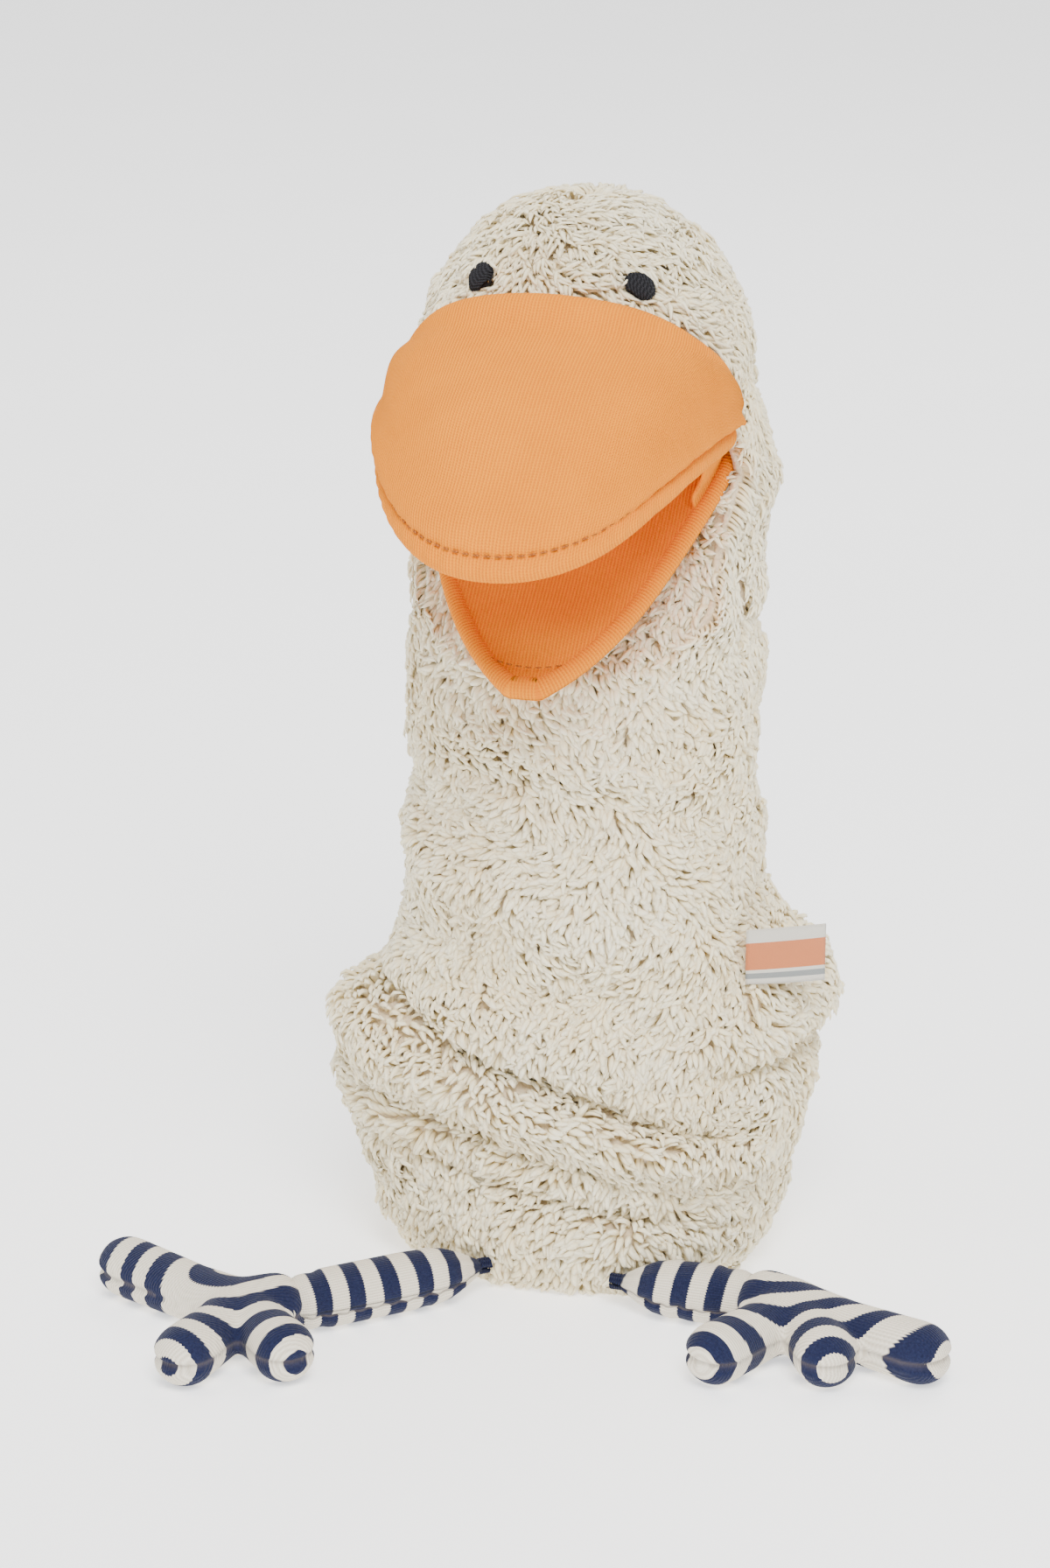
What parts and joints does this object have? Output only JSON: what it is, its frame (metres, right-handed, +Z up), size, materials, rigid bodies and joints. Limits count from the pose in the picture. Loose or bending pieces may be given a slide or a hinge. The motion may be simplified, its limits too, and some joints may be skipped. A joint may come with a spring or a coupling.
{
  "type": "goose hand puppet",
  "caption": "Curly plush goose hand puppet: a slumped sleeve with a domed head, a padded jersey beak that opens on a hand pocket, and striped knitted legs.",
  "frame": {"origin": "middle of the arm opening, at the level of the hem and the floor", "axes": "+Z up, -Y the way the goose faces, +X to the right as seen from the front"},
  "size_m": [0.2655, 0.1973, 0.346],
  "materials": {
    "plush": "curly teddy pile",
    "jersey": "fine ribbed knit",
    "knit": "striped knit, navy and cream",
    "facing": "plain jersey",
    "wool": "loose wool filling",
    "thread": "satin embroidery",
    "label": "woven tape with colour bands"
  },
  "bodies": {
    "torso": {"bag_front_panel": "plush", "bag_back_panel": "plush", "side_seam_left": "plush", "side_seam_right": "plush", "hem_facing": "facing", "label_tab": "label", "waist_fold": "plush"},
    "neck_lower": {"neck_lower_front": "plush", "neck_lower_back": "plush", "neck_fold": "plush"},
    "neck_upper": {"neck_upper_front": "plush", "neck_upper_back": "plush", "nape_fold": "plush"},
    "head": {"throat_fold": "plush", "crown_left": "plush", "crown_right": "plush", "crown_filling": "wool", "finger_pocket": "jersey", "eye_left": "thread", "eye_right": "thread", "upper_beak_top": "jersey", "upper_beak_rim": "jersey", "palate": "jersey", "upper_beak_filling": "wool", "mouth_seam": "jersey"},
    "jaw": {"lower_beak_cover": "jersey", "lower_beak_lining": "jersey", "lower_beak_edge": "jersey", "lower_beak_filling": "wool", "thumb_pocket": "jersey"},
    "leg_left": {"hip_stitch_left": "knit", "leg_tube_left": "knit", "leg_filling_left": "wool", "ankle_seam_left": "knit"},
    "foot_left": {"foot_upper_left": "knit", "foot_under_left": "knit", "foot_filling_left": "wool"},
    "leg_right": {"hip_stitch_right": "knit", "leg_tube_right": "knit", "leg_filling_right": "wool", "ankle_seam_right": "knit"},
    "foot_right": {"foot_upper_right": "knit", "foot_under_right": "knit", "foot_filling_right": "wool"}
  },
  "joints": [
    {"name": "waist_bend", "type": "hinge", "parent": "torso", "child": "neck_lower", "pos_m": [0, 0, 0.132], "axis": [1, 0, 0], "range_deg": [-12, 15], "deforming": ["waist_fold"]},
    {"name": "neck_twist", "type": "hinge", "parent": "neck_lower", "child": "neck_upper", "pos_m": [0, 0, 0.16], "axis": [0, 0, 1], "range_deg": [-40, 40], "deforming": ["neck_fold"]},
    {"name": "head_nod", "type": "hinge", "parent": "neck_upper", "child": "head", "pos_m": [0, 0, 0.192], "axis": [-1, 0, 0], "range_deg": [-20, 18], "deforming": ["nape_fold", "throat_fold"]},
    {"name": "jaw_open", "type": "hinge", "parent": "head", "child": "jaw", "pos_m": [0, -0.005, 0.269], "axis": [1, 0, 0], "range_deg": [-30, 8]},
    {"name": "left_hip_swing", "type": "hinge", "parent": "torso", "child": "leg_left", "pos_m": [-0.018, -0.0525, 0.0093], "axis": [0, 0, 1], "range_deg": [-25, 35]},
    {"name": "left_ankle_lift", "type": "hinge", "parent": "leg_left", "child": "foot_left", "pos_m": [-0.06774, -0.09278, 0.0093], "axis": [-0.5736, 0.8192, 0], "range_deg": [0, 40]},
    {"name": "right_hip_swing", "type": "hinge", "parent": "torso", "child": "leg_right", "pos_m": [0.024, -0.0525, 0.0093], "axis": [0, 0, 1], "range_deg": [-50, 0]},
    {"name": "right_ankle_lift", "type": "hinge", "parent": "leg_right", "child": "foot_right", "pos_m": [0.06699, -0.05325, 0.0093], "axis": [-0.342, -0.9397, 0], "range_deg": [0, 40]}
  ]
}
